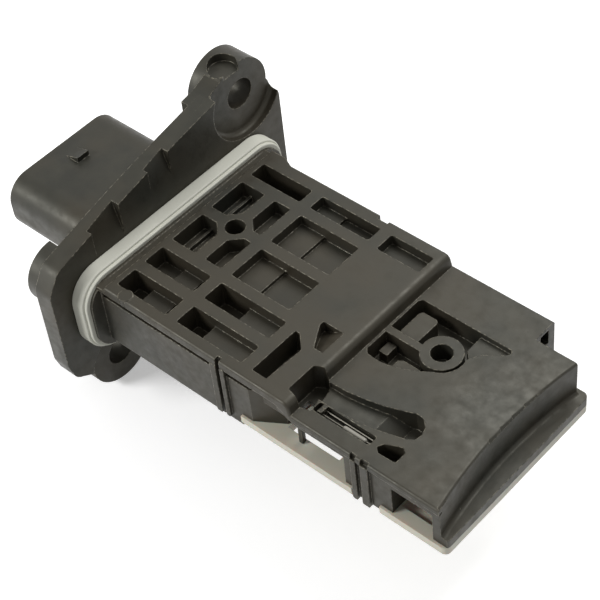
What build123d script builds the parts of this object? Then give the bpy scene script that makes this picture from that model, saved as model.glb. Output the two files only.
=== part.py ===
from build123d import *
import os

# Mass airflow sensor: a plug-in insert that hangs in the intake duct of an engine.
# Millimetres. The origin is midway between the two screw holes, in the plane that the ears rest on.
# +X runs along the insert into the duct, +Z towards its cored side, +Y across it.
# Insert positions are given from the flange's front face (u, along X) and from the near side (v, along Y).

# Flange plate, in Y and Z from the neck's centre
plate_t = 3.3
plate_half_w = 25.35
plate_side_z = 7.15
plate_low_z = 8.35
plate_shoulder = (23.05, 10.6)
plate_bow = (2.67, 15.91)
plate_heel = ((-24.44, -11.5), (-21.44, -13.4))
plate_corner_r = 2.4

# Ears with their screw holes, in Y and Z from the origin
ear_y = 16.3
ear_z = 15.25
ear_r = 6.0
ear_len = 5.3
ear_step = 1.6
ear_relief_gap = 0.15
ear_hole_r = 2.6
ear_inset = 0.2
ear_peak = 4.0
ear_web_z = 3.95
ear_relief_foot_r = 0.8
ear_pocket_r = 2.35
ear_pocket_x = -1.75
ear_pocket_y = -1.2
ear_pocket_deep = 1.5

# Web between the far ear and the plate's top edge, in Y and Z from the origin
web_y = 5.7
web_z = 20.6

# Wedge notches in the front of the top edge: near end, far end and height
wedges = ((-15.5, -9.7, 5.2), (-3.2, 1.2, 4.0))
wedge_deep = 1.5

# Lug behind the near top corner
lug_r = 5.35
lug_at = (-19.1, 4.9)
lug_t = 3.0
lug_flat = 0.3

# Neck, seal ring and the lip that keeps the ring on
neck_y = -2.2
neck_half_w = 19.9
neck_half_h = 5.65
neck_r = 3.2
lip_out = 1.05
lip_t = 0.5
ring_w = 2.9
ring_out = 2.1
ring_gap = 0.05
ring_step = 0.4
ring_step_w = 0.75
ring_edge_r = 0.25
ring_front_r = 0.2

# Connector shroud, its socket, latch tooth and blades
shroud_w = 23.5
shroud_h = 10.4
shroud_r = 4.1
shroud_len = 22.3
shroud_wall = 1.6
socket_deep = 18.0
tooth_w = 2.4
tooth_len = 2.9
tooth_h = 1.0
tooth_foot = 0.3
tooth_back = 2.8
blade_count = 5
blade_pitch = 3.6
blade_w = 1.5
blade_t = 0.6
blade_out = 13.4
blade_point = 1.0
blade_in = 3.0

# Insert body
near_side = 19.1
near_wall = 1.9
far_wall = 2.1
body_len = 68.7
deck_a_z = 7.35
deck_b_z = 5.39
strip_z = 6.65
strip_u = 4.9
step_u = 41.1
step_lean = 0.5
step_r = 1.2
dark_bottom_z = -4.9
dark_end_u = 31.0
rim_z = -2.5
deck_edge_r = 0.45
far_edge_r = 0.5
set_back = 0.4
lip_deep_a = 1.45
lip_deep_b = 1.05
lip_groove = 0.5
lip_groove_h = 0.4
top_a_z = 4.45
top_b_z = 3.1
lip_slope_u = (38.7, 41.7)
body_corner_r = 1.0
shoulder_u = (7.7, 9.7)
shoulder_out = 0.9
groove_u = (27.7, 29.7)
groove_deep = 0.7

# Tip of the insert
ledge_z = -0.91
ledge_r = 0.7
nose_sag = (2.9, 15.0)
nose_near = 0.1
nose_far = 1.7
notch_u = 59.8
notch_deep = 3.7
notch_ledge = 0.75
outlet_z = (2.05, 4.75)
outlet_len = 9.0
outlet_run = 3.0

# Cored pockets on the higher deck: ribs, row widths and columns
rib = 2.0
rows = (3.75, 3.8, 6.6, 6.8, 3.0)
col_1 = (5.9, 16.0)
col_2 = (18.1, 29.6)
col_2_long = 30.9
col_3 = (31.7, 39.7)
pocket_r = 0.4
small_r = 0.2
row_over = 0.5
cell_step_u = 22.7
cell_shallow = 1.8
cell_deep = 2.4
deep_end_u = (22.1, 23.7)
deep_end = 4.4
half_deep = (1.75, 2.0)
pad_u = ((9.3, 14.0), (10.1, 14.0))
pad_deep = 2.4
pad_cell_deep = (4.2, 3.2)
split_u = (10.7, 12.8)
split_deep = (3.0, 2.6)
split_cut = 1.8
split_rib_w = 0.5
split_rib_h = 0.8
slot_deep = 4.2
round_hole_r = 1.6
round_hole_u = 11.8
side_cell = ((33.0, 1.9), (35.7, 1.9), (36.0, 8.8), (33.8, 11.0), (33.0, 11.0))
ramp_cell = ((35.0, 14.8), (35.0, 14.0), (35.9, 12.4), (37.2, 10.2), (38.8, 10.2), (38.8, 14.8))
ramp_deep = 2.2

# Recesses on the lower deck
boss_at = (50.9, 21.6)
boss_r = 3.2
boss_hole_r = 1.65
boss_gap = 0.45
boss_recess = (
    (42.0, 15.9), (42.7, 15.2), (44.7, 15.1), (46.2, 15.3), (48.7, 16.2), (50.7, 17.2), (52.4, 18.4),
    (54.4, 22.7), (55.4, 24.6), (58.2, 26.6), (58.7, 27.3), (58.3, 27.9), (42.5, 27.9), (42.0, 27.3),
)
recess_deep = 3.3
plateau_u = 52.9
plateau_deep = 1.0
boss_bar = (42.0, 48.5, 20.0, 21.2)
boss_block = ((43.4, 20.5), (46.7, 20.5), (46.7, 26.3), (43.4, 26.3))
boss_block_r = 0.7
small_block = (42.7, 44.2, 17.5, 19.7)
small_drop = 1.5
wedge_drop = 1.0
boss_wedge = ((46.3, 15.2), (48.5, 16.1), (50.7, 17.1), (50.2, 17.9), (46.9, 17.9), (46.3, 17.4))
block_drop = 0.4
banana = (
    (42.0, 8.0), (44.7, 8.1), (47.7, 8.6), (50.7, 9.3), (53.7, 10.4), (55.1, 11.0), (56.3, 10.9), (57.5, 9.8),
    (57.9, 8.5), (57.7, 7.4), (56.7, 6.7), (54.2, 6.0), (51.7, 5.3), (48.7, 4.9), (46.2, 4.7), (42.0, 4.7),
)
banana_deep = (1.0, 1.5)
sump_u = (51.5, 54.5)
sump_deep = 3.4
near_hole = ((54.4, 3.3), (55.2, 2.6), (58.1, 2.7), (58.1, 4.8), (57.4, 5.3), (56.7, 5.1), (54.9, 4.2))
air_recess = ((39.35, 2.4), (41.6, 2.0), (43.3, 2.6), (42.7, 4.8), (42.3, 7.3), (41.6, 8.2), (40.6, 8.4), (39.35, 7.7))
air_recess_r = 0.4
air_recess_z = 2.7
air_hole = (40.2, 42.2, 3.2, 5.2)

# Thermistor slot, bead and leads
bead_r = 0.42
bead_u = (48.2, 52.4)
bead_v = 3.45
bead_slot = (43.2, 53.4, 2.8, 4.55)
bead_slot_deep = 1.2
lead_r = 0.13
lead_gap_v = 0.78
lead_turn_r = 0.39
lug_u = (43.9, 44.6)
lug_w = 0.7

# Air windows in the near side, from the flange face
window_a = (32.5, 50.7)
window_b = (59.1, 66.1)
window_rim = 1.5
window_b_z = 2.85
window_b_in = 1.0

# Air passages, cored from below
porch_wall = (37.5, 3.1)
porch_v = 9.0
duct_z = 1.9
duct_u = (33.5, 39.3)
duct_top_v = 34.5
outlet_v = 32.6
cross_v = (21.0, 26.5)
cross_z = 0.9
tip_duct_u = 64.3
tip_duct_z = 2.6

# Ribs on the near side: start, end and bottom
side_ribs = ((26.3, 27.4, -4.4), (28.2, 29.0, -4.2))
side_gap_deep = 0.8
side_notch_deep = 1.7
side_notch_z = -2.2
guide_ribs = ((52.3, 53.2, -4.1), (54.05, 55.4, -4.1))
rib_out = 0.1
rib_end_r = 0.3
guide_notch = 0.5
guide_notch_z = 1.0
foot_u = (52.0, 57.0)
foot_z = -3.7
foot_in = 1.3

# Bypass cover
cover_bottom_z = -4.21
cover_gap = 0.1
cover_sink = 0.8
cover_rim_a = 2.7
cover_rim_b = 2.05
vent_u = (37.9, 47.5)
vent_v = 8.6
vent_post = (40.9, 41.6, 1.7, 2.4)
cover_edge_r = 0.5

# Electronics chamber and its lid
lid_t = 1.18
lid_ledge = 1.4
lid_gap = 0.15
lid_rim = 0.6
chamber_u = (7.0, dark_end_u - lid_ledge - lid_rim)
chamber_v = (3.3, 32.6)
chamber_top_z = 1.9
chamber_r = 1.5

# Board stack, from the chamber's ceiling down
board_gap = 0.6
base_t = 0.8
board_t = 1.0
carrier_t = 1.1
carrier_w = 7.0
carrier_overlap = 3.5
carrier_reach = 5.2
carrier_gap = 0.1
sensor_size = (3.0, 3.0, 0.4)
sensor_from_end = 0.8

# Parts on the board: u and v of the centre, then length, width and height
chip_parts = {
    "processor_chip": (18.5, 20.0, 7.0, 7.0, 1.5),
    "regulator_chip": (13.5, 27.5, 5.0, 4.0, 1.4),
    "capacitor_1": (21.5, 27.5, 3.2, 1.6, 1.4),
    "capacitor_2": (25.5, 27.5, 3.2, 1.6, 1.4),
    "capacitor_3": (13.2, 6.4, 2.0, 1.25, 0.9),
    "capacitor_4": (17.2, 6.4, 2.0, 1.25, 0.9),
    "resistor_1": (21.2, 6.4, 2.0, 1.25, 0.5),
    "resistor_2": (25.2, 6.4, 2.0, 1.25, 0.5),
}

# Derived places
ear_relief_r = ear_z - neck_half_h - ring_out - ear_relief_gap
face_x = ear_step
plate_back_x = face_x - plate_t
near_y = neck_y - near_side
body_w = near_wall + sum(rows) + 4 * rib + far_wall
nose_v = body_w - notch_deep - notch_ledge
in_neck = Pos(face_x, neck_y, 0)
in_insert = Pos(face_x, near_y, 0)
row_v = [near_wall + sum(rows[:i]) + i * rib for i in range(len(rows))]
board_low_z = chamber_top_z - base_t - board_t
above = deck_a_z + 2.0
below = dark_bottom_z - 2.0
near = 0.01


def outline(points, r=0.0):
    """Closed face through plan points, with every corner rounded by r."""
    face = make_face(Polyline(*points, close=True))
    if r > 0:
        face = fillet(face.vertices(), r)
    return face


def upright(face, z0, z1):
    """Plan face raised from z0 to z1."""
    return Pos(0, 0, z0) * extrude(face, amount=z1 - z0, dir=(0, 0, 1))


def block(u0, u1, v0, v1, z0, z1):
    """Box between two corners."""
    return Pos((u0 + u1) / 2, (v0 + v1) / 2, (z0 + z1) / 2) * Box(u1 - u0, v1 - v0, z1 - z0)


def across(points, v0, v1, r=0.0):
    """Side profile of X and Z points drawn across from v0 to v1."""
    face = Plane((0, v0, 0), x_dir=(1, 0, 0), z_dir=(0, -1, 0)) * outline(points, r)
    return extrude(face, amount=v1 - v0, dir=(0, 1, 0))


def along(face, x0, x1):
    """Face in Y and Z drawn along X from x0 to x1."""
    return extrude(Plane.YZ.offset(x0) * face, amount=x1 - x0, dir=(1, 0, 0))


def cell(u0, u1, v0, v1, floor_z):
    """Rectangular pocket with rounded corners, open at the top."""
    return upright(outline([(u0, v0), (u1, v0), (u1, v1), (u0, v1)], pocket_r), floor_z, above)


def flange_outline():
    """Plate outline in Y and Z from the neck's centre: two bowed edges that run out to the ears."""
    ear = (ear_y - neck_y, ear_z)
    ear_low = (-ear_y - neck_y, -ear_z)
    shoulder_y, shoulder_z = plate_shoulder
    bow_y, bow_z = plate_bow
    reach = ear_r - ear_inset
    top = ThreePointArc((-shoulder_y, shoulder_z), (-bow_y, bow_z), (ear[0] - ear_peak, ear[1] + ear_peak))
    low = ThreePointArc((shoulder_y, -shoulder_z), (bow_y, -bow_z), (ear_low[0] + ear_peak, ear_low[1] - ear_peak))
    far_line = Polyline(
        top @ 1,
        ear,
        (ear[0] + reach, ear[1]),
        (plate_half_w, ear[1] - ear_web_z),
        (plate_half_w, -plate_side_z),
        (shoulder_y, -shoulder_z),
    )
    near_line = Polyline(
        low @ 1,
        ear_low,
        (ear_low[0] - reach, ear_low[1]),
        plate_heel[1],
        plate_heel[0],
        (-plate_half_w, -plate_low_z),
        (-plate_half_w, plate_side_z),
        (-shoulder_y, shoulder_z),
    )
    face = make_face([top, far_line, low, near_line])
    corners = [p for p in face.vertices() if abs(p.X) > shoulder_y - ear_inset]
    return fillet(corners, plate_corner_r)


def ear_web():
    """Web behind the far ear's pad that carries the ear's top out over the plate's edge."""
    low = (plate_bow[1] + ear_z + ear_peak) / 2
    side = [(web_y, web_z), (web_y, low), (ear_y, low), (ear_y, ear_z + ear_r)]
    return along(outline(side), plate_back_x, 0)


def flange():
    """Plate with its ears, relieved round each screw hole, and the notches in its top edge."""
    plate = in_neck * along(flange_outline(), -plate_t, 0)
    for side in (-1, 1):
        at_ear = Pos(0, side * ear_y, side * ear_z)
        relief = along(Circle(ear_relief_r), 0, 2 * ear_step)
        relief = fillet(relief.edges().sort_by(Axis.X)[0], ear_relief_foot_r)
        ear = along(Circle(ear_r), -ear_len, 0)
        if side > 0:
            plate += ear_web()
            pocket = Pos(ear_pocket_x, ear_pocket_y, 0) * Circle(ear_pocket_r)
            ear -= upright(pocket, ear_r - ear_pocket_deep, ear_r + 1)
        plate -= at_ear * relief
        plate += at_ear * ear
        plate -= at_ear * along(Circle(ear_hole_r), -ear_len - 1, 1)
    for start, end, tall in wedges:
        edge_z = plate_bow[1] + (plate_shoulder[1] - plate_bow[1]) * (start + end + 2 * plate_bow[0]) / (
            2 * (plate_bow[0] - plate_shoulder[0])
        )
        plate -= in_neck * across(
            [(0.01, edge_z - tall), (-wedge_deep, edge_z + 1), (1, edge_z + 1), (1, edge_z - tall)], start, end
        )
    lug = Pos(*lug_at) * Circle(lug_r)
    lug -= Pos(lug_at[0] + lug_flat + lug_r, lug_at[1]) * Rectangle(2 * lug_r, 2 * lug_r)
    return plate + in_neck * along(lug, -plate_t - lug_t, -plate_t)


def neck():
    """Rounded neck with the groove that holds the seal ring and the thin lip in front of it."""
    core = along(ring_outline(0), -plate_t / 2, ring_w)
    return in_neck * (core + along(ring_outline(lip_out), ring_w, ring_w + lip_t))


def shroud():
    """Connector shroud behind the flange, open to -X, with the latch tooth on its top wall."""
    outer = RectangleRounded(shroud_w, shroud_h, shroud_r)
    inner = RectangleRounded(shroud_w - 2 * shroud_wall, shroud_h - 2 * shroud_wall, shroud_r - shroud_wall)
    back = -plate_t - shroud_len
    solid = along(outer, back, -plate_t / 2) - along(inner, back - 1, back + socket_deep)
    top = shroud_h / 2
    start = back + tooth_back
    end = start + tooth_len
    low = top - tooth_foot
    tooth = across([(start, top), (end, top + tooth_h), (end, low), (start, low)], -tooth_w / 2, tooth_w / 2)
    return in_neck * (solid + tooth)


def blade(i):
    """Flat contact blade from the socket through the neck to the board's lower face."""
    y = neck_y + (i - (blade_count - 1) / 2) * blade_pitch
    x0 = plate_back_x - shroud_len + socket_deep - blade_out
    x1 = face_x + chamber_u[0] + blade_in
    w = blade_w / 2
    tip = w - blade_t / 2
    plan = [(x0, y - tip), (x0 + blade_point, y - w), (x1, y - w), (x1, y + w), (x0 + blade_point, y + w), (x0, y + tip)]
    return upright(outline(plan), board_low_z - blade_t, board_low_z)


def body_plan():
    """Plan outline of the insert: far shoulder by the flange, groove in the far edge and notch at the tip."""
    far = body_w
    points = [
        (ring_w + lip_t / 2, 0),
        (body_len, 0),
        (body_len, nose_v + notch_ledge),
        (notch_u, nose_v + notch_ledge),
        (notch_u, far),
        (groove_u[1], far),
        (groove_u[1], far - groove_deep),
        (groove_u[0], far - groove_deep),
        (groove_u[0], far),
        (shoulder_u[1], far),
        (shoulder_u[0], far + shoulder_out),
        (ring_w + lip_t / 2, far + shoulder_out),
    ]
    face = outline(points)
    tips = [p for p in face.vertices() if p.X > body_len - 0.1]
    return fillet(tips, body_corner_r)


def body_shell():
    """Stepped insert body before its pockets and passages are cored."""
    start = ring_w + lip_t / 2
    lean = step_u + step_lean
    side = [
        (start, dark_bottom_z),
        (dark_end_u, dark_bottom_z),
        (dark_end_u, rim_z),
        (body_len, rim_z),
        (body_len, deck_b_z),
        (lean, deck_b_z),
        (step_u, deck_a_z),
        (strip_u, deck_a_z),
        (strip_u, strip_z),
        (start, strip_z),
    ]
    wide = body_w + shoulder_out + 1
    solid = across(side, -1, wide) & upright(body_plan(), below, above)
    step = solid.edges().filter_by(Axis.Y).filter_by_position(Axis.Z, deck_a_z - near, deck_a_z + near)
    solid = fillet(step.sort_by(Axis.X)[-1], step_r)
    return solid


def top_edges(solid):
    """Edges of the two decks and of the step between them, past the low strip by the flange."""
    return [e for e in solid.edges() if e.center().Z > deck_b_z - near and e.center().X > strip_u]


def nose_arcs(edges):
    """The long arcs of the concave nose among some edges."""
    return [e for e in edges if e.geom_type == GeomType.CIRCLE and e.length > nose_v / 2]


def body():
    """Body with its concave nose, a fillet at the nose's foot and rounded near, far and nose edges."""
    solid = body_shell() - nose_cut()
    foot = [e for e in nose_arcs(solid.edges()) if abs(e.center().Z - ledge_z) < near]
    solid = fillet(foot, ledge_r)
    rim = top_edges(solid)
    solid = fillet(nose_arcs(rim) + [e for e in rim if abs(e.center().Y) < near], deck_edge_r)
    far = [e for e in top_edges(solid) if abs(e.center().Y - body_w) < near and e.center().X > groove_u[1]]
    return fillet(far, far_edge_r)


def deck_cells():
    """Pockets cored into the higher deck, laid out in rows and columns with ribs of one width between them."""
    top = deck_a_z
    low = [(v, v + w) for v, w in zip(row_v, rows)]
    cuts = [cell(*col_1, *low[4], top - slot_deep), cell(*col_3, low[4][0] - row_over, low[4][1], top - cell_shallow)]
    for v0, v1 in (low[2], low[3], low[4]):
        cuts.append(cell(*col_2, v0, v1, top - cell_shallow))
        cuts.append(cell(cell_step_u, col_2[1], v0, v1, top - cell_deep))
    for i in (0, 1):
        cuts.append(cell(col_2[0], col_2_long, *low[i], top - half_deep[i]))
        cuts.append(cell(col_2[0], deep_end_u[i], *low[i], top - deep_end))
        pad = block(*pad_u[i], low[i][0] - 1, low[i][1] + 1, below, top - pad_deep)
        cuts.append(cell(*col_1, *low[i], top - pad_cell_deep[i]) - pad)
    for i, (v0, v1) in enumerate((low[2], low[3])):
        inner, outer = (v1, v0) if i == 0 else (v0, v1)
        turn = -split_cut if i == 0 else split_cut
        near_flange = [
            (col_1[0], outer), (split_u[0], outer), (split_u[0], inner + turn),
            (split_u[0] - split_cut, inner), (col_1[0], inner),
        ]
        past_hole = [
            (split_u[1], outer), (col_1[1], outer), (col_1[1], inner),
            (split_u[1] + split_cut, inner), (split_u[1], inner + turn),
        ]
        floor = top - split_deep[0]
        corner = upright(outline(near_flange, pocket_r), floor, above)
        for k in (1, 2):
            mid = col_1[0] + k * (split_u[0] - col_1[0]) / 3
            corner -= block(mid - split_rib_w / 2, mid + split_rib_w / 2, v0 - 1, v1 + 1, floor, floor + split_rib_h)
        cuts += [corner, upright(outline(past_hole, pocket_r), top - split_deep[1], above)]
    hole_v = (low[2][1] + low[3][0]) / 2
    cuts.append(Pos(round_hole_u, hole_v, 0) * upright(Circle(round_hole_r), top - deep_end, above))
    cuts.append(upright(outline(side_cell, small_r), top - slot_deep, above))
    slope = [(ramp_cell[0][0] - 0.1, top - ramp_deep), (ramp_cell[-1][0], top), (ramp_cell[-1][0] + 1, above)]
    slope += [(ramp_cell[0][0] - 0.1, above)]
    ramp = upright(outline(ramp_cell, small_r), top - ramp_deep, above)
    cuts.append(ramp & across(slope, ramp_cell[3][1] - 1, ramp_cell[0][1] + 1))
    return cuts


def lower_deck_cells():
    """Recesses of the lower deck: round the ring boss, the curved slot, the air recess and the bead's slot."""
    top = deck_b_z
    ring_at = Pos(*boss_at, 0)
    around = outline(boss_recess, small_r)
    recess = upright(around, top - recess_deep, above)
    recess += ring_at * upright(Circle(boss_r + boss_gap), top - recess_deep, above)
    past = block(plateau_u, notch_u, 0, body_w, below, top - plateau_deep)
    past -= ring_at * upright(Circle(boss_r + boss_gap), below, above)
    recess -= past
    island_z = top - block_drop
    far_block = outline(boss_block)
    far_block = fillet(far_block.vertices().sort_by(Axis.Y)[-2:], boss_block_r)
    islands = [
        block(*boss_bar, below, top),
        upright(far_block, below, island_z),
        upright(outline(boss_wedge, small_r), below, top - wedge_drop),
        block(*small_block, below, top - small_drop),
        ring_at * upright(Circle(boss_r), below, above),
    ]
    for island in islands:
        recess -= island
    floor = [
        (banana[0][0] - 1, top - banana_deep[0]), (sump_u[0], top - banana_deep[1]), (sump_u[1], top - sump_deep),
        (notch_u, top - sump_deep), (notch_u, above), (banana[0][0] - 1, above),
    ]
    slot = upright(outline(banana, small_r), top - sump_deep, above) & across(floor, 0, body_w)
    u0, u1, v0, v1 = bead_slot
    bead_cell = cell(u0, u1, v0, v1, top - bead_slot_deep)
    for v in (bead_v, bead_v + lead_gap_v):
        bead_cell -= block(*lug_u, v - lug_w / 2, v + lug_w / 2, below, top)
    return [
        recess,
        ring_at * upright(Circle(boss_hole_r), top - recess_deep, above),
        slot,
        bead_cell,
        upright(outline(near_hole, small_r), top - sump_deep, above),
        upright(outline(air_recess, air_recess_r), air_recess_z, above),
        block(*air_hole, duct_z - 1, air_recess_z + 1),
    ]


def porch_plan():
    """Plan of the space behind the long window, with its slanting inner wall."""
    return outline([
        (window_a[0], -1), (window_a[0], 0), porch_wall, (porch_wall[0], porch_v), (window_a[1], porch_v),
        (window_a[1], -1),
    ])


def near_profile(end_u, low_z, z_a, z_b):
    """Side profile from low_z up to a line at z_a under the higher deck and at z_b under the lower one."""
    start = ring_w + lip_t
    return [
        (start, low_z), (start, z_a), (lip_slope_u[0], z_a), (lip_slope_u[1], z_b), (end_u, z_b), (end_u, low_z),
    ]


def lip_cut():
    """What is cut away under the decks' near lip: the wall's set-back and the fine groove that marks it off."""
    line = (deck_a_z - lip_deep_a, deck_b_z - lip_deep_b)
    wall = across(near_profile(body_len + 1, below, *line), -1, set_back)
    groove = across(near_profile(body_len + 1, below, *line), -1, set_back + lip_groove)
    return wall + (groove - across(near_profile(body_len + 1, below, line[0] - lip_groove_h, line[1] - lip_groove_h), -2, 2))


def window_cuts():
    """Two air windows in the near side and the small outlet in the notch face."""
    long_window = across(near_profile(window_a[1], rim_z - 1, top_a_z, top_b_z), -1, window_rim) & upright(porch_plan(), below, above)
    short_window = block(*window_b, -1, window_b_in, rim_z - 1, window_b_z)
    outlet = block(notch_u - 2 * window_rim, notch_u + 1, outlet_v, duct_top_v, *outlet_z)
    return [long_window, short_window, outlet]


def duct_plan():
    """Plan of the sensing passage: from the porch past the chip to the outlet, and across to the tip passage."""
    u0, u1 = duct_u
    return outline([
        (porch_wall[0], porch_v - 1), (u0, porch_v + 3), (u0, duct_top_v - 4), (u0 + 3.5, duct_top_v),
        (notch_u - rib / 2, duct_top_v), (notch_u - rib / 2, outlet_v), (notch_u - outlet_len, outlet_v),
        (notch_u - outlet_len - outlet_run, cross_v[1] + rib), (u1 + 2, cross_v[1] + rib), (u1, cross_v[1]),
        (u1, porch_v + 3), (u1 + 2, porch_v - 1),
    ], pocket_r)


def tip_plan():
    """Plan of the passage behind the short window, along the tip and back across to the sensing passage."""
    return outline([
        (window_b[0], -1), (window_b[1], -1), (window_b[1], 0), (tip_duct_u, porch_v),
        (tip_duct_u, cross_v[1] - 2), (tip_duct_u - 2, cross_v[1]), (duct_u[1] - 1, cross_v[1]),
        (duct_u[1] - 1, cross_v[0]), (window_b[0] - 2, cross_v[0]), (window_b[0], cross_v[0] - 2),
    ])


def passage_cuts():
    """Air passages cored from below; the cover closes them."""
    tip = upright(tip_plan(), rim_z - 1, tip_duct_z)
    tip -= block(0, window_b[0], 0, body_w, cross_z, above)
    outlet_shaft = block(
        notch_u - outlet_len, notch_u - rib / 2, outlet_v, duct_top_v, rim_z - 1, outlet_z[1]
    )
    return [
        upright(porch_plan(), rim_z - 1, duct_z),
        upright(duct_plan(), rim_z - 1, duct_z),
        tip,
        outlet_shaft,
    ]


def chamber_cuts():
    """Electronics chamber cored from below, the ledge for its lid and the slot for the chip carrier."""
    u0, u1 = chamber_u
    v0, v1 = chamber_v
    room = outline([(u0, v0), (u1, v0), (u1, v1), (u0, v1)], chamber_r)
    c = carrier_w / 2 + carrier_gap
    mid = near_side
    return [
        upright(room, below, chamber_top_z),
        upright(lid_outline(0), below, dark_bottom_z + lid_t),
        block(u1 - 1, duct_u[0] + 1, mid - c, mid + c, board_low_z - carrier_t - carrier_gap, board_low_z + carrier_gap),
    ]


def lid_outline(inset):
    """Plan of the lid's ledge, drawn in by inset for the lid itself."""
    u0, u1 = chamber_u[0] - lid_ledge + inset, chamber_u[1] + lid_ledge - inset
    v0, v1 = chamber_v[0] - lid_ledge + inset, chamber_v[1] + lid_ledge - inset
    return outline([(u0, v0), (u1, v0), (u1, v1), (u0, v1)], chamber_r)


def nose_cut():
    """What is cut away above the ledge: past the concave front edge and past the nose's far side."""
    start = (body_len - body_corner_r - nose_near, 0)
    end = (body_len - nose_far, nose_v)
    front = ThreePointArc(start, (body_len - nose_sag[0], nose_sag[1]), end)
    rest = Polyline(
        end, (notch_u, nose_v), (notch_u, body_w + 1), (body_len + 1, body_w + 1), (body_len + 1, -1),
        (start[0], -1), start,
    )
    return upright(make_face([front, rest]), ledge_z, above)


def rib_bar(u0, u1, low_z, top_z):
    """Upright rib on the near side with a rounded foot."""
    bar = block(u0, u1, -rib_out, 1, low_z, top_z)
    foot = bar.edges().filter_by(Axis.Y).sort_by(Axis.Z)[:2]
    return fillet(foot, min(rib_end_r, 0.4 * (u1 - u0)))


def insert():
    """Insert body with its lips, windows, pockets, passages and chamber."""
    solid = body() - lip_cut()
    for cut in deck_cells() + lower_deck_cells() + window_cuts() + passage_cuts() + chamber_cuts():
        solid -= cut
    solid += block(*vent_post, rim_z, duct_z)
    foot = block(foot_u[0] + cover_gap, foot_u[1] - cover_gap, set_back, foot_in - cover_gap, foot_z, rim_z)
    solid += foot
    for u0, u1, low_z in side_ribs:
        solid += rib_bar(u0, u1, low_z, deck_a_z - lip_deep_a)
    gap = side_ribs[0][1], side_ribs[1][0]
    solid -= block(*gap, -1, side_gap_deep, below, above)
    solid -= block(*gap, -1, side_notch_deep, below, side_notch_z)
    for u0, u1, low_z in guide_ribs:
        solid -= block(u0, u1, -1, guide_notch, deck_b_z - guide_notch_z, above)
        solid += rib_bar(u0, u1, low_z, deck_b_z - guide_notch_z)
    return in_insert * solid


def housing(blades):
    """The one moulding: flange, neck, connector shroud and insert, with the blades moulded in."""
    solid = flange() + neck() + shroud() + insert()
    for i in range(blade_count):
        solid -= blades[i]
    return solid


def ring_outline(out):
    """Section of the neck in Y and Z, grown by out."""
    return RectangleRounded(2 * (neck_half_w + out), 2 * (neck_half_h + out), neck_r + out)


def rounded_band(out, x0, x1, r):
    """Solid band of the neck's section grown by out, with both rims rounded."""
    solid = along(ring_outline(out), x0, x1)
    return fillet(solid.faces().filter_by(Axis.X).edges(), r)


def seal_ring():
    """Rubber ring round the neck: a wide smooth band with a lower lip in front of it."""
    band = rounded_band(ring_out, 0, ring_w - ring_step_w + ring_front_r, ring_edge_r)
    front = rounded_band(ring_out - ring_step, ring_w / 2, ring_w, ring_front_r)
    return in_neck * (band + front - along(ring_outline(ring_gap), -1, ring_w + 1))


def bypass_cover():
    """Pale cover under the measuring end, with the vent below the air recess and sunk floors under the passages."""
    plate = upright(body_plan(), cover_bottom_z, rim_z)
    plate -= block(0, dark_end_u + cover_gap, -1, body_w + 1, below, above)
    low = plate.faces().sort_by(Axis.Z)[0].edges().filter_by_position(Axis.X, dark_end_u + 1, body_len + 1)
    plate = fillet(low.filter_by_position(Axis.Y, -0.1, 0.1), cover_edge_r)
    plate -= block(*foot_u, -1, foot_in, below, above)
    plate -= block(*vent_u, cover_rim_a, vent_v, below, above)
    sunk = upright(tip_plan(), rim_z - cover_sink, rim_z + 1)
    plate -= sunk & block(0, body_len, cover_rim_b, body_w, below, above)
    return in_insert * plate


def lid():
    """Flat dark lid in the ledge under the electronics chamber."""
    return in_insert * upright(lid_outline(lid_gap), dark_bottom_z, dark_bottom_z + lid_t)


def room_plate(inset, z0, z1):
    """Plate that fills the chamber's plan but for a gap."""
    u0, u1 = chamber_u[0] + inset, chamber_u[1] - inset
    v0, v1 = chamber_v[0] + inset, chamber_v[1] - inset
    return in_insert * upright(outline([(u0, v0), (u1, v0), (u1, v1), (u0, v1)], chamber_r - inset / 2), z0, z1)


def chip_carrier():
    """Moulded tongue from the board through the chamber's wall into the sensing passage."""
    u0, u1 = chamber_u[1] - carrier_overlap, duct_u[0] + carrier_reach
    w = carrier_w / 2
    plan = outline([(u0, near_side - w), (u1, near_side - w), (u1, near_side + w), (u0, near_side + w)], pocket_r)
    return in_insert * upright(plan, board_low_z - carrier_t, board_low_z)


def sensor_chip():
    """Heated airflow element on the tongue's lower face."""
    length, width, height = sensor_size
    u1 = duct_u[0] + carrier_reach - sensor_from_end
    z1 = board_low_z - carrier_t
    return in_insert * block(u1 - length, u1, near_side - width / 2, near_side + width / 2, z1 - height, z1)


def board_part(u, v, length, width, height):
    """Small part on the board's lower face."""
    return in_insert * block(
        u - length / 2, u + length / 2, v - width / 2, v + width / 2, board_low_z - height, board_low_z
    )


def thermistor():
    """Glass bead with rounded ends, lying in its slot, and its two leads."""
    z = deck_b_z - bead_slot_deep + bead_r
    u0, u1 = bead_u
    body = Pos(u0 + bead_r, bead_v, z) * along(Circle(bead_r), 0, u1 - u0 - 2 * bead_r)
    for u in (u0 + bead_r, u1 - bead_r):
        body += Pos(u, bead_v, z) * Sphere(bead_r)
    straight = Pos(0, bead_v, z) * along(Circle(lead_r), lug_u[1], u0)
    far_v = bead_v + lead_gap_v
    turn_u = u1 + lead_turn_r
    path = Polyline((u1, bead_v, z), (turn_u, bead_v, z)) + ThreePointArc(
        (turn_u, bead_v, z), (turn_u + lead_turn_r, (bead_v + far_v) / 2, z), (turn_u, far_v, z)
    ) + Line((turn_u, far_v, z), (lug_u[1], far_v, z))
    back = sweep(Plane((u1, bead_v, z), z_dir=(1, 0, 0)) * Circle(lead_r), path)
    return in_insert * body, in_insert * (straight - body), in_insert * (back - body)


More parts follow.
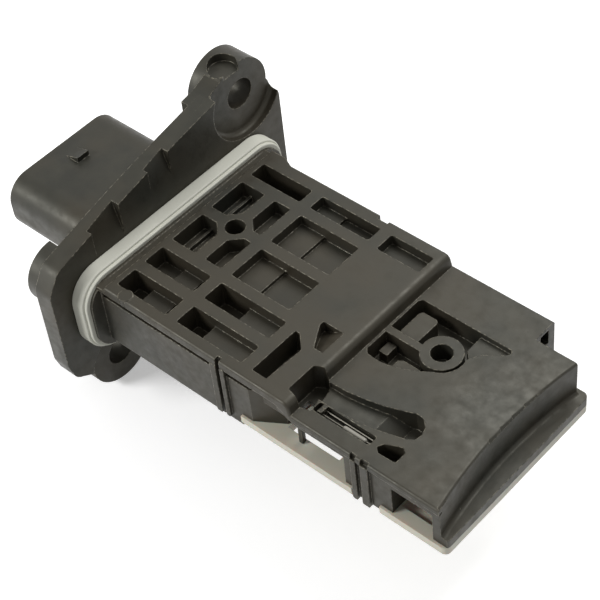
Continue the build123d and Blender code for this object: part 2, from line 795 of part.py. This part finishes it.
def build():
    """All the pieces by name."""
    blades = [blade(i) for i in range(blade_count)]
    bead, lead_1, lead_2 = thermistor()
    base_low_z = chamber_top_z - base_t
    pieces = {
        "housing": housing(blades),
        "seal_ring": seal_ring(),
        "bypass_cover": bypass_cover(),
        "electronics_cover": lid(),
        "base_plate": room_plate(board_gap / 2, base_low_z, chamber_top_z),
        "circuit_board": room_plate(board_gap, board_low_z, base_low_z),
        "chip_carrier": chip_carrier(),
        "sensor_chip": sensor_chip(),
        "thermistor_bead": bead,
        "thermistor_lead_1": lead_1,
        "thermistor_lead_2": lead_2,
    }
    for i in range(blade_count):
        pieces[f"terminal_{i + 1}"] = blades[i]
    for name, sizes in chip_parts.items():
        pieces[name] = board_part(*sizes)
    return pieces


os.makedirs("parts", exist_ok=True)
for name, piece in build().items():
    export_step(piece, f"parts/{name}.step")
    print(name, len(piece.solids()), round(piece.volume, 2))
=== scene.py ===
# %% [markdown]
# # A plug-in mass airflow sensor
#
# This lesson dresses a finished CAD model of an engine's airflow sensor. The CAD pieces stay where they are
# and as large as they are. Blender adds what a drawing leaves out: the skin of each moulding, the soft edges,
# the marks that a mould leaves, and the light.

import math

import bmesh
import bpy
import numpy as np
from mathutils import Matrix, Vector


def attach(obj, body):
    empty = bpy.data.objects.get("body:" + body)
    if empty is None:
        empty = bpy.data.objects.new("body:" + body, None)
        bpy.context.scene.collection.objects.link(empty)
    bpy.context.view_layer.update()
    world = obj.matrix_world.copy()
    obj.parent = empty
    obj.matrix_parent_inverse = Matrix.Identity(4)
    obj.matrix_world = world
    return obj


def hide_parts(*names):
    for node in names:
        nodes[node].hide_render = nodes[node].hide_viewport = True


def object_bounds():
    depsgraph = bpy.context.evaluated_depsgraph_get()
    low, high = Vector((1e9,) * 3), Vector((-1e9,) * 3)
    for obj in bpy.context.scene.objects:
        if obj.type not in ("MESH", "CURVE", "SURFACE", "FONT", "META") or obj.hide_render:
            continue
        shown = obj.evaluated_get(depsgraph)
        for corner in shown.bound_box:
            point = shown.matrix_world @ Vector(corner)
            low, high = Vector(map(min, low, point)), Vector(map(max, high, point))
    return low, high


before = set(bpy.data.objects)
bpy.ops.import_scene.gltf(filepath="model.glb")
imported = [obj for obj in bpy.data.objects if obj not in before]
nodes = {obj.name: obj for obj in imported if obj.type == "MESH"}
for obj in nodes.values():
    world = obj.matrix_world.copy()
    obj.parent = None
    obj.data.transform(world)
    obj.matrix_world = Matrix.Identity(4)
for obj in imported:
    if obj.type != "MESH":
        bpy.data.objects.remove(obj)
cad_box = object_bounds()
print("CAD pieces:", len(nodes), "box in m:", [round(float(v), 4) for v in cad_box[1]])

# %% [markdown]
# ## The camera
#
# The photograph was taken from above the near side, with the insert pointing down to the right. The place,
# the tilt and the lens were worked out from edges whose directions are known on the part: the three families
# of parallel mould edges meet in three vanishing points, and those fix the view. The camera gets that result
# as a position in millimetres and two directions.

# %% Place the camera
MM = 0.001
EYE_MM = (160.41, -125.75, 196.47)
RIGHT = np.array((0.74323, 0.66347, -0.08607))
UP = np.array((-0.44498, 0.58630, 0.67694))
LENS_MM = 108.0
SENSOR_MM = 36.0
CLIP_M = 0.01


def camera_frame(right, up):
    """Three unit axes: right, up made square to it, and back = right x up."""
    right = right / np.linalg.norm(right)
    up = up - right * float(np.dot(right, up))
    up = up / np.linalg.norm(up)
    return np.stack((right, up, np.cross(right, up)), axis=1)


axes = camera_frame(RIGHT, UP)
pose = np.eye(4)
pose[:3, :3] = axes
pose[:3, 3] = np.array(EYE_MM) * MM
camera = bpy.data.objects.new("camera", bpy.data.cameras.new("camera"))
bpy.context.scene.collection.objects.link(camera)
camera.data.sensor_width = SENSOR_MM
camera.data.lens = LENS_MM
camera.data.clip_start = CLIP_M
camera.matrix_world = Matrix(pose.tolist())
bpy.context.scene.camera = camera
print("camera looks along", np.round(-axes[:, 2], 3))

# %% [markdown]
# ## Colour and nodes
#
# Colours are picked as sRGB hex values, the way a paint program shows them. Blender's shaders count in
# linear light, so one function turns one into the other. A second small function adds a shader node with its
# settings and its links, which keeps each material readable as a short list. A third opens a new material.

# %% Three helpers for materials


def linear(code):
    """sRGB hex to linear light: below 0.04045 divide by 12.92, above it raise (v + 0.055) / 1.055 to 2.4."""
    v = np.array([int(code[i : i + 2], 16) / 255.0 for i in (1, 3, 5)])
    low = v / 12.92
    high = ((v + 0.055) / 1.055) ** 2.4
    return (*np.where(v <= 0.04045, low, high).tolist(), 1.0)


def add(tree, kind, settings=None, **sockets):
    """One node: settings are its properties, sockets are values or outputs; n3 is the input at place 3."""
    node = tree.nodes.new(kind)
    for key, value in (settings or {}).items():
        setattr(node, key, value)
    for key, value in sockets.items():
        name = key.replace("_", " ")
        socket = node.inputs[int(key[1:])] if key[0] == "n" and key[1:].isdigit() else node.inputs[name]
        if isinstance(value, bpy.types.NodeSocket):
            tree.links.new(value, socket)
        else:
            socket.default_value = value
    return node


def new_material(name):
    """Empty node material with its output, ready for a shader."""
    mat = bpy.data.materials.new(name)
    mat.use_nodes = True
    tree = mat.node_tree
    tree.nodes.clear()
    return mat, tree, tree.nodes.new("ShaderNodeOutputMaterial")


print("a charcoal in linear light:", [round(c, 4) for c in linear("#282721")[:3]])

# %% [markdown]
# ## Moulded black plastic
#
# The housing is a glass-filled nylon, moulded in a spark-eroded tool. Such a skin is never quite black: it is
# a warm charcoal, browner where the melt ran last and slightly olive where the fibres lie near the surface.
# Two slow clouds of colour, some 5 and 14 mm across, follow that. The eroded tool leaves a fine grain, here
# about 0.12 mm, too fine to see singly, so it is drawn at 0.3 mm. Larger patches of 1.6 mm are a little
# shinier or duller, as the melt wets the tool unevenly, and they make the sheen look oily and mottled.
#
# The sharp edges get a painted highlight: a paler colour near each edge stands in for the glints that catch
# there, and the roughness drops there too. The Bevel node finds them: it turns the normal near an edge,
# so the more its normal differs from the face's own, the nearer the edge is. A fine noise breaks the painted
# highlight into flecks.
#
# Noise stays near its middle, so each pattern has a span: the two noise values between which it goes from
# nothing to all. A narrow span gives patches with clear borders, and a wide one gives a slow change.

# %% Material: glass-filled nylon
GRAIN_MM = 0.3
GRAIN_DEPTH_MM = 0.02
PATCH_MM = 1.6
PATCH_DEPTH_MM = 0.05
PATCH_SPAN = (0.3, 0.7)
PATCH_ROUGH = (0.36, 0.56)
CLOUD_MM = 5.0
CLOUD_SPAN = (0.35, 0.65)
FLOW_MM = 14.0
FLOW_SPAN = (0.4, 0.62)
EDGE_MM = 0.22
EDGE_SPAN = (0.998, 0.93)
FLECK_MM = 0.55
FLECK_SPAN = (0.44, 0.62)
RUB_POLISH = -0.16
NOISE_ROUGH = 0.55
NYLON_IOR = 1.53


def nylon(name, dark, light, warm, painted_glint):
    """Charcoal moulding: clouds mix three shades, patches drive the gloss, edges get a pale painted
    highlight.
    """
    mat, tree, out = new_material(name)
    where = add(tree, "ShaderNodeTexCoord").outputs["Object"]
    sizes = ((GRAIN_MM, 2.0), (PATCH_MM, 3.0), (CLOUD_MM, 3.0), (FLOW_MM, 2.0), (FLECK_MM, 3.0))
    fine, patch, cloud, flow, fleck = [
        add(tree, "ShaderNodeTexNoise", Vector=where, Scale=1 / (size * MM), Detail=octaves,
            Roughness=NOISE_ROUGH).outputs[0]
        for size, octaves in sizes
    ]
    cloud = add(tree, "ShaderNodeMapRange", Value=cloud, n1=CLOUD_SPAN[0], n2=CLOUD_SPAN[1]).outputs[0]
    flow = add(tree, "ShaderNodeMapRange", Value=flow, n1=FLOW_SPAN[0], n2=FLOW_SPAN[1]).outputs[0]
    body = add(tree, "ShaderNodeMix", {"data_type": "RGBA"}, Factor=cloud, n6=linear(dark), n7=linear(light))
    body = add(tree, "ShaderNodeMix", {"data_type": "RGBA"}, Factor=flow, n6=body.outputs[2], n7=linear(warm))
    soft = add(tree, "ShaderNodeBevel", {"samples": 6}, Radius=EDGE_MM * MM).outputs["Normal"]
    face = add(tree, "ShaderNodeNewGeometry").outputs["Normal"]
    near = add(tree, "ShaderNodeVectorMath", {"operation": "DOT_PRODUCT"}, n0=soft, n1=face).outputs["Value"]
    edge = add(tree, "ShaderNodeMapRange", Value=near, n1=EDGE_SPAN[0], n2=EDGE_SPAN[1]).outputs[0]
    fleck = add(tree, "ShaderNodeMapRange", Value=fleck, n1=FLECK_SPAN[0], n2=FLECK_SPAN[1]).outputs[0]
    # Edge mask in flecks: it lowers the roughness and mixes in the painted highlight colour.
    polish_and_painted_glint = add(tree, "ShaderNodeMath", {"operation": "MULTIPLY"}, n0=edge, n1=fleck).outputs[0]
    body = add(tree, "ShaderNodeMix", {"data_type": "RGBA"}, Factor=polish_and_painted_glint, n6=body.outputs[2],
               n7=linear(painted_glint))
    gloss = add(tree, "ShaderNodeMapRange", Value=patch, n1=PATCH_SPAN[0], n2=PATCH_SPAN[1],
                n3=PATCH_ROUGH[0], n4=PATCH_ROUGH[1]).outputs[0]
    dull = add(tree, "ShaderNodeMath", {"operation": "MULTIPLY_ADD"}, n0=polish_and_painted_glint, n1=RUB_POLISH,
               n2=gloss).outputs[0]
    wave = add(tree, "ShaderNodeBump", Strength=0.12, Distance=PATCH_DEPTH_MM * MM, Height=patch,
               Normal=soft).outputs[0]
    bump = add(tree, "ShaderNodeBump", Strength=0.35, Distance=GRAIN_DEPTH_MM * MM, Height=fine,
               Normal=wave).outputs[0]
    shader = add(tree, "ShaderNodeBsdfPrincipled", Base_Color=body.outputs[2], Roughness=dull, Normal=bump,
                 IOR=NYLON_IOR, Specular_IOR_Level=0.34, Specular_Tint=linear("#fcfaec"))
    tree.links.new(shader.outputs[0], out.inputs["Surface"])
    return mat


# The last colour is a painted edge highlight, paler than the moulding.
black_nylon = nylon(
    "glass_filled_nylon_moulded", dark="#1d1d19", light="#282721", warm="#2c2820", painted_glint="#7c7769"
)
print("made", black_nylon.name)

# %% [markdown]
# ## Pale cover, rubber, metals and small parts
#
# The other pieces are small, and a view of the whole object shows little more of them than colour and gloss.
# So they share one recipe: a colour, a roughness, and specks of a real size that break the gloss up. On all
# but the glass the specks also dent the surface a little, so that no face is as flat as a drawing. What each
# one gives the eye:
#
# - The cover under the measuring end is an unfilled, milky moulding. Light enters it and comes out again a
#   little way off, which is what subsurface scattering is for.
# - The ring is moulded silicone rubber, pale, dull and powdery.
# - The lid is a filled moulding, black and without shine. The board's plate is rolled aluminium sheet, bright
#   but far from a mirror.
# - The blades are tinned brass, pale and shiny. The leads are drawn steel wire, which has dulled.
# - The board has a green, glossy solder resist. Its chips are moulded epoxy, black and matt, and its
#   capacitors are fired ceramic, tan with a slight gloss.
# - The airflow chip is polished silicon, a dark grey mirror. The bead is drawn glass, grey and shiny.

# %% Materials: mouldings, rubber, metals, board and glass
ROUGH_SPREAD = 0.06


def plain_finish(name, colour, rough, speck_mm, metallic=0.0, bump=0.1, **more):
    """Plain finish: its specks make the roughness differ by ROUGH_SPREAD both ways and give a slight bump."""
    mat, tree, out = new_material(name)
    where = add(tree, "ShaderNodeTexCoord").outputs["Object"]
    speck = add(tree, "ShaderNodeTexNoise", Vector=where, Scale=1 / (speck_mm * MM), Detail=3.0).outputs[0]
    dull = add(tree, "ShaderNodeMapRange", Value=speck, n1=PATCH_SPAN[0], n2=PATCH_SPAN[1],
               n3=rough - ROUGH_SPREAD, n4=rough + ROUGH_SPREAD).outputs[0]
    slope = add(tree, "ShaderNodeBump", Strength=bump, Distance=GRAIN_DEPTH_MM * MM, Height=speck).outputs[0]
    shader = add(tree, "ShaderNodeBsdfPrincipled", Base_Color=linear(colour), Roughness=dull, Normal=slope,
                 Metallic=metallic, **more)
    tree.links.new(shader.outputs[0], out.inputs["Surface"])
    return mat


milky = plain_finish(
    "unfilled_polymer_moulded", "#bcb9aa", 0.42, 1.5, Subsurface_Weight=0.25, Subsurface_Scale=2 * MM
)
silicone = plain_finish("silicone_rubber_moulded", "#c8c8bc", 0.62, 0.6, bump=0.2)
lid_black = plain_finish("lid_polymer_moulded", "#242220", 0.5, 0.5)
sheet_metal = plain_finish("aluminium_sheet_rolled", "#c3c4c6", 0.35, 0.4, metallic=1.0)
tinned = plain_finish("brass_blade_tinned", "#cfc7b4", 0.28, 0.3, metallic=1.0)
wire = plain_finish("steel_wire_drawn", "#6f6c64", 0.45, 0.1, metallic=1.0)
board = plain_finish("board_solder_resist", "#1f5a34", 0.35, 0.8)
chip_body = plain_finish("epoxy_chip_moulded", "#1b1b1c", 0.55, 0.2)
ceramic = plain_finish("ceramic_fired", "#a98252", 0.45, 0.3)
silicon = plain_finish("silicon_polished", "#3a3d48", 0.12, 0.5)
glass_bead = plain_finish("glass_bead_drawn", "#8f8c82", 0.2, 0.5, bump=0.0)
print("finishes:", len(bpy.data.materials))

# %% [markdown]
# ## Dress the CAD pieces
#
# Each CAD piece keeps its shape and gets its finish. The table below names one finish for each piece.

# %% Give each piece its finish
finish_of = {
    "housing": black_nylon,
    "seal_ring": silicone,
    "bypass_cover": milky,
    "electronics_cover": lid_black,
    "base_plate": sheet_metal,
    "circuit_board": board,
    "chip_carrier": lid_black,
    "sensor_chip": silicon,
    "thermistor_bead": glass_bead,
    "thermistor_lead_1": wire,
    "thermistor_lead_2": wire,
    "processor_chip": chip_body,
    "regulator_chip": chip_body,
}
for i in range(1, 6):
    finish_of[f"terminal_{i}"] = tinned
for i in range(1, 5):
    finish_of[f"capacitor_{i}"] = ceramic
for i in range(1, 3):
    finish_of[f"resistor_{i}"] = chip_body
for name, mat in finish_of.items():
    data = nodes[name].data
    data.materials.clear()
    data.materials.append(mat)
print("dressed", len(finish_of), "of", len(nodes), "CAD pieces")

# %% [markdown]
# ## The moulding, carved a little further
#
# The housing comes from the CAD as one solid. Beside the far ear the real moulding is plainer than that:
# the ear's barrel runs straight into the plate's edge, with its round coring hole clear, and only a small
# square web stands behind the plate. So the visible moulding is a copy of the CAD mesh. Its loose triangles
# are welded first, and then exact booleans cut the corner clear and add the web. This is how a mould maker
# would change a tool too: by cutting away, and by leaving a little more room for the melt.
#
# A tool shape is a prism: an outline in millimetres, carried straight along one axis. Any outline can be one,
# and its walls stay exactly flat, which booleans like best.

# %% Tool shapes


def place_mesh(name, points, faces):
    """New object from points in metres and lists of corner numbers."""
    data = bpy.data.meshes.new(name)
    data.from_pydata(np.asarray(points, float).reshape(-1, 3).tolist(), [], faces)
    data.update()
    thing = bpy.data.objects.new(name, data)
    bpy.context.scene.collection.objects.link(thing)
    return thing


def prism(name, ring, axis, low, high):
    """Outline ring (columns in mm, anticlockwise about the axis) run from low to high and closed by caps."""
    ring = np.asarray(ring, float)
    count = len(ring)
    points = np.concatenate([np.insert(ring, axis, level, axis=1) for level in (low, high)])
    here = np.arange(count)
    after = (here + 1) % count
    sides = np.stack((here, after, after + count, here + count), axis=-1).tolist()
    return place_mesh(name, points * MM, sides + [here[::-1].tolist(), (here + count).tolist()])


def arc(centre, radius, start, end, count):
    """Points on a circle: centre + radius (cos t, sin t), t from start to end in degrees."""
    t = np.radians(np.linspace(start, end, count))
    return np.array(centre) + radius * np.stack((np.cos(t), np.sin(t)), axis=-1)


def circle(centre, radius, count):
    """Whole circle as an arc that stops one step short of its start."""
    return arc(centre, radius, 0, 360 - 360 / count, count)


print("an outline of four points:", circle((0.0, 0.0), 1.0, 4).round(3).tolist())

# %% [markdown]
# The mesh from the file is a heap of loose triangles, so a copy has its meeting corners joined before it is
# carved. The file's own normals no longer fit after a cut. They are dropped at the end, and the angle between
# two faces then says whether the edge between them is crisp.

# %% Copy of a CAD mesh, and how it is carved
WELD_M = 1e-6
CRISP_DEG = 28.0


def welded_copy(node, name):
    """Copy of a CAD node's mesh, with the corners that meet joined into one."""
    data = nodes[node].data.copy()
    thing = bpy.data.objects.new(name, data)
    bpy.context.scene.collection.objects.link(thing)
    work = bmesh.new()
    work.from_mesh(data)
    bmesh.ops.remove_doubles(work, verts=work.verts, dist=WELD_M)
    work.to_mesh(data)
    work.free()
    return thing


def carve(piece, tool, operation):
    """Exact boolean of a tool into a piece; the result is kept and the tool is thrown away."""
    step = piece.modifiers.new("carve", "BOOLEAN")
    step.operation = operation
    step.solver = "EXACT"
    step.object = tool
    bpy.context.view_layer.update()
    made = bpy.data.meshes.new_from_object(piece.evaluated_get(bpy.context.evaluated_depsgraph_get()))
    piece.modifiers.clear()
    piece.data = made
    bpy.data.objects.remove(tool)


def smooth_by_angle(data):
    """Round where faces meet at less than CRISP_DEG, crisp elsewhere; the file's own normals are dropped."""
    for layer in ("custom_normal", "sharp_face", "sharp_edge"):
        if layer in data.attributes:
            data.attributes.remove(data.attributes[layer])
    data.polygons.foreach_set("use_smooth", np.ones(len(data.polygons), bool))
    data.set_sharp_from_angle(angle=math.radians(CRISP_DEG))


moulding = welded_copy("housing", "housing_moulding")
print("welded corners:", len(moulding.data.vertices))

# %% [markdown]
# The ear's barrel has a radius of 6 mm about (16.3, 15.25) in the flange's plane, and the plate's edge is a
# very flat bow of 307 mm radius. The round coring hole stands upright in the barrel. Where a tool ends level
# with a face that is already there, it stays two microns off, because booleans dislike shared planes.

# %% Clear the ear's corner and add the small web
EAR = (16.3, 15.25)
EAR_R = 6.0
BARREL_DEG = (139.5, 85)
EDGE_MID = (62.351, -283.853)
EDGE_R = 307.208
BOW_Y = (5.0, 11.6)
PLATE_X = (-1.9, 0.2)
HOLE = (-1.75, 15.1)
HOLE_R = 2.36
HOLE_FLOOR = 19.74
CLEAR_Z = 23.0
WEB_Y = (7.15, 12.6)
WEB_Z = (15.0, 19.98)
WEB_BOW_Y = 9.8
WEB_BACK = -3.2
HAIR = 0.002


def edge_at(y):
    """Height of the plate's bowed edge: the upper point of its circle at that y."""
    return EDGE_MID[1] + np.sqrt(EDGE_R**2 - (np.asarray(y) - EDGE_MID[0]) ** 2)


barrel = arc(EAR, EAR_R + HAIR, *BARREL_DEG, 40)
run = np.linspace(*BOW_Y, 24)
bow = np.stack((run, edge_at(run) + HAIR), axis=-1)
corner = np.concatenate((bow, barrel, [(barrel[-1][0], CLEAR_Z), (BOW_Y[0], CLEAR_Z)]))
carve(moulding, prism("corner_tool", corner, 0, *PLATE_X), "DIFFERENCE")
carve(moulding, prism("hole_tool", circle(HOLE, HOLE_R, 48), 2, HOLE_FLOOR, CLEAR_Z), "DIFFERENCE")
run = np.linspace(WEB_BOW_Y, WEB_Y[0], 8)
foot = [(WEB_Y[0], WEB_Z[0]), (WEB_Y[1], WEB_Z[0]), (WEB_Y[1], WEB_Z[1])]
web = np.concatenate((foot, np.stack((run, edge_at(run) - HAIR), axis=-1)))
carve(moulding, prism("web_tool", web, 0, WEB_BACK, -HAIR), "UNION")
print("after the ear:", len(moulding.data.polygons), "faces")

# %% [markdown]
# Under the lip of the near side runs a groove, deep enough to read as a dark line. The tool for it is a slide
# that comes in from the side. At the lip's end by the ring, an ejector pin left a round flat a shade above
# the deck.

# %% Groove under the near lip and the ejector's flat
GROOVE = [(-21.4, 4.45), (-20.1, 4.45), (-20.1, 5.7), (-21.4, 5.7)]
GROOVE_RUNS = ((5.2, 27.9), (30.6, 40.3))
PIN = (10.2, -20.35)
PIN_R = 1.15
PIN_Z = (6.2, 7.43)

for start, end in GROOVE_RUNS:
    carve(moulding, prism("groove_tool", GROOVE, 0, start, end), "DIFFERENCE")
carve(moulding, prism("pin_tool", circle(PIN, PIN_R, 36), 2, *PIN_Z), "UNION")
smooth_by_angle(moulding.data)
side_of = np.empty(len(moulding.data.loops), np.int32)
moulding.data.loops.foreach_get("edge_index", side_of)
open_edges = int(np.sum(np.bincount(side_of, minlength=len(moulding.data.edges)) != 2))
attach(moulding, "root")
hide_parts("housing")
print("moulding:", len(moulding.data.polygons), "faces,", open_edges, "edges not shared by two")

# %% [markdown]
# ## Floor
#
# The photograph is a cut-out on white. A wide white floor lies under the lower ear, which is the part's
# lowest point. It glows a little, so that it comes out as white as paper, and it keeps the soft shadow. What
# it throws back as diffuse light is halved, as it would be on a small sheet of paper instead of a six metre
# one.

# %% White floor
WHITE = (1.0, 1.0, 1.0, 1.0)
FLOOR_HALF_M = 3.0
FLOOR_GLOW = 0.35
PAPER = 0.95
PAPER_BOUNCE = 0.5
floor_z = float(cad_box[0][2])


def level_square(half, z):
    """Corners of a level square, anticlockwise from above: (x, y) = half (+-1, +-1), z is constant."""
    return half * np.array([(-1, -1, 0), (1, -1, 0), (1, 1, 0), (-1, 1, 0)]) + np.array((0, 0, z))


floor = place_mesh("floor", level_square(FLOOR_HALF_M, floor_z), [[0, 1, 2, 3]])
paper, tree, out = new_material("paper_white")
ray = add(tree, "ShaderNodeLightPath")
sheet = add(tree, "ShaderNodeBsdfDiffuse", Color=(PAPER, PAPER, PAPER, 1.0))
glow = add(tree, "ShaderNodeEmission", Color=WHITE, Strength=FLOOR_GLOW)
seen = add(tree, "ShaderNodeAddShader", n0=sheet.outputs[0], n1=glow.outputs[0])
small = add(tree, "ShaderNodeBsdfDiffuse", Color=(PAPER_BOUNCE, PAPER_BOUNCE, PAPER_BOUNCE, 1.0))
pick = add(tree, "ShaderNodeMixShader", n0=ray.outputs["Is Diffuse Ray"], n1=seen.outputs[0],
           n2=small.outputs[0])
tree.links.new(pick.outputs[0], out.inputs["Surface"])
floor.data.materials.append(paper)
print("floor at", round(floor_z / MM, 2), "mm")

# %% [markdown]
# ## Sky
#
# The sky is plain white where the lens or a mirror sees it, and dimmer as a source of light. At full strength
# it would light the pockets from all sides and wash the black plastic out.

# %% World
SKY = 0.35
world = bpy.data.worlds.new("studio")
bpy.context.scene.world = world
world.use_nodes = True
tree = world.node_tree
tree.nodes.clear()
ray = add(tree, "ShaderNodeLightPath")
plain = add(tree, "ShaderNodeMath", {"operation": "MAXIMUM"}, n0=ray.outputs["Is Camera Ray"],
            n1=ray.outputs["Is Glossy Ray"])
plain = add(tree, "ShaderNodeMath", {"operation": "MAXIMUM"}, n0=plain.outputs[0],
            n1=ray.outputs["Is Transmission Ray"])
bright = add(tree, "ShaderNodeBackground", Color=WHITE, Strength=1.0)
soft = add(tree, "ShaderNodeBackground", Color=WHITE, Strength=SKY)
pick = add(tree, "ShaderNodeMixShader", n0=plain.outputs[0], n1=soft.outputs[0], n2=bright.outputs[0])
end = tree.nodes.new("ShaderNodeOutputWorld")
tree.links.new(pick.outputs[0], end.inputs["Surface"])
print("sky lights the object at", SKY)

# %% [markdown]
# ## Lamps
#
# The key lamp is large and hangs high over the far side. It lights the level faces from above, but not from
# the direction that they mirror into the lens, so their sheen stays soft. The walls of the pockets, which
# face the near side and the tip, stay dark. A smaller lamp at the near side draws the bright line along the
# rounded edge of the connector.

# %% Two soft lamps


def lamp(name, spot_mm, target_mm, size_mm, watts):
    """Square area lamp at spot, turned so that its -Z axis points at target."""
    data = bpy.data.lights.new(name, "AREA")
    data.size = size_mm * MM
    data.energy = watts
    thing = bpy.data.objects.new(name, data)
    bpy.context.scene.collection.objects.link(thing)
    back = np.array(spot_mm, float) - np.array(target_mm, float)
    back = back / np.linalg.norm(back)
    side = np.cross((0.0, 0.0, 1.0), back)
    side = side / np.linalg.norm(side)
    place = np.eye(4)
    place[:3, :3] = np.stack((side, np.cross(back, side), back), axis=1)
    place[:3, 3] = np.array(spot_mm) * MM
    thing.matrix_world = Matrix(place.tolist())


lamp("key", spot_mm=(30, 250, 390), target_mm=(40, 0, 0), size_mm=300, watts=1.7)
lamp("near", spot_mm=(-180, -330, 210), target_mm=(0, 0, 0), size_mm=140, watts=1.5)
print("lamps:", len(bpy.data.lights))

# %% [markdown]
#
# The Standard view shows colours as they were written.

# %% Finish
bpy.context.scene.view_settings.view_transform = "Standard"
